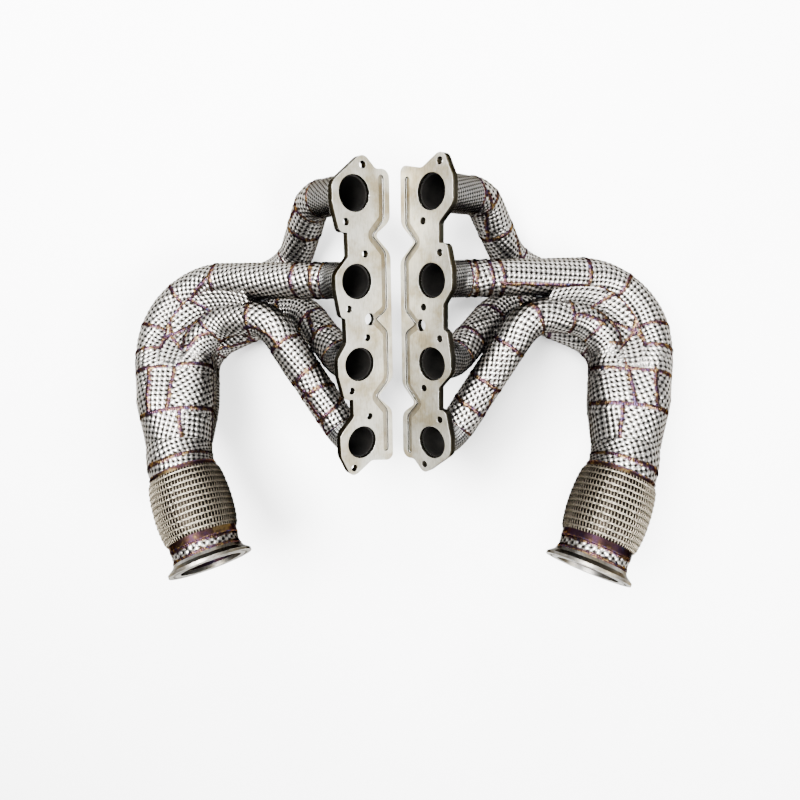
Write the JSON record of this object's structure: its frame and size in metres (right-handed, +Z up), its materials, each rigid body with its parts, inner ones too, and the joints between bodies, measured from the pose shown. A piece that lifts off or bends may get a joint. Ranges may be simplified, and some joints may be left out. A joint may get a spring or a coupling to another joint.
{
  "type": "exhaust manifold pair",
  "caption": "Handed pair of long-runner exhaust manifolds: flat head flange, wrapped bent runners, merge collector, braided flexible joint and V-band outlet.",
  "frame": {"origin": "bottom centre of the pair's box, on the surface that the pair rests on", "axes": "+X across the pair from the left manifold to the right one, +Y along the head flanges away from the outlets, +Z up"},
  "size_m": [0.697, 0.5007, 0.2636],
  "materials": {
    "flange_steel": "machined satin stainless steel",
    "pipe_steel": "stainless tube with brown and gold heat tint",
    "foil": "bright embossed stainless foil",
    "fine_foil": "fine-patterned grey stainless foil",
    "wire_braid": "knitted stainless wire",
    "collar_steel": "brown heat-tinted crimp collar",
    "bellows_steel": "thin formed stainless",
    "v_band_steel": "turned stainless with a dark rim"
  },
  "bodies": {
    "left_manifold": {"left_head_flange": "flange_steel", "left_runner_1": "pipe_steel", "left_runner_2": "pipe_steel", "left_runner_3": "pipe_steel", "left_runner_4": "pipe_steel", "left_stub_sleeve_1": "fine_foil", "left_stub_sleeve_2": "fine_foil", "left_stub_sleeve_3": "fine_foil", "left_stub_sleeve_4": "fine_foil", "left_runner_wrap_1": "foil", "left_runner_wrap_2": "foil", "left_runner_wrap_3": "foil", "left_runner_wrap_4": "foil", "left_merge_collector": "pipe_steel", "left_collector_wrap_upper": "foil", "left_collector_wrap_lower": "foil", "left_neck_pipe": "pipe_steel", "left_neck_wrap": "foil", "left_flex_collar_upper": "collar_steel", "left_flow_liner": "bellows_steel", "left_braid_upper": "wire_braid"},
    "left_flex": {"left_bellows": "bellows_steel"},
    "left_outlet": {"left_braid_lower": "wire_braid", "left_flex_collar_lower": "collar_steel", "left_outlet_pipe": "pipe_steel", "left_outlet_wrap": "fine_foil", "left_v_band_flange": "v_band_steel"},
    "right_manifold": {"right_head_flange": "flange_steel", "right_runner_1": "pipe_steel", "right_runner_2": "pipe_steel", "right_runner_3": "pipe_steel", "right_runner_4": "pipe_steel", "right_stub_sleeve_1": "fine_foil", "right_stub_sleeve_2": "fine_foil", "right_stub_sleeve_3": "fine_foil", "right_stub_sleeve_4": "fine_foil", "right_runner_wrap_1": "foil", "right_runner_wrap_2": "foil", "right_runner_wrap_3": "foil", "right_runner_wrap_4": "foil", "right_merge_collector": "pipe_steel", "right_collector_wrap_upper": "foil", "right_collector_wrap_lower": "foil", "right_neck_pipe": "pipe_steel", "right_neck_wrap": "foil", "right_flex_collar_upper": "collar_steel", "right_flow_liner": "bellows_steel", "right_braid_upper": "wire_braid"},
    "right_flex": {"right_bellows": "bellows_steel"},
    "right_outlet": {"right_braid_lower": "wire_braid", "right_flex_collar_lower": "collar_steel", "right_outlet_pipe": "pipe_steel", "right_outlet_wrap": "fine_foil", "right_v_band_flange": "v_band_steel"}
  },
  "joints": [
    {"name": "right_apart", "type": "slide", "parent": "left_manifold", "child": "right_manifold", "axis": [1, 0, 0], "range_m": [0, 0.25]},
    {"name": "left_flex_pitch", "type": "hinge", "parent": "left_manifold", "child": "left_flex", "pos_m": [-0.26181, -0.14289, 0.17622], "axis": [0.9036, 0.4284, 0], "range_deg": [-6, 6], "stiffness_Nm_per_rad": 120, "deforming": ["left_braid_upper"]},
    {"name": "left_flex_yaw", "type": "hinge", "parent": "left_flex", "child": "left_outlet", "pos_m": [-0.24604, -0.17616, 0.19425], "axis": [-0.1884, 0.3973, 0.8981], "range_deg": [-6, 6], "stiffness_Nm_per_rad": 120, "deforming": ["left_braid_lower"]},
    {"name": "right_flex_pitch", "type": "hinge", "parent": "right_manifold", "child": "right_flex", "pos_m": [0.26181, -0.14289, 0.17622], "axis": [-0.9036, 0.4284, 0], "range_deg": [-6, 6], "stiffness_Nm_per_rad": 120, "deforming": ["right_braid_upper"]},
    {"name": "right_flex_yaw", "type": "hinge", "parent": "right_flex", "child": "right_outlet", "pos_m": [0.24604, -0.17616, 0.19425], "axis": [0.1884, 0.3973, 0.8981], "range_deg": [-6, 6], "stiffness_Nm_per_rad": 120, "deforming": ["right_braid_lower"]}
  ]
}
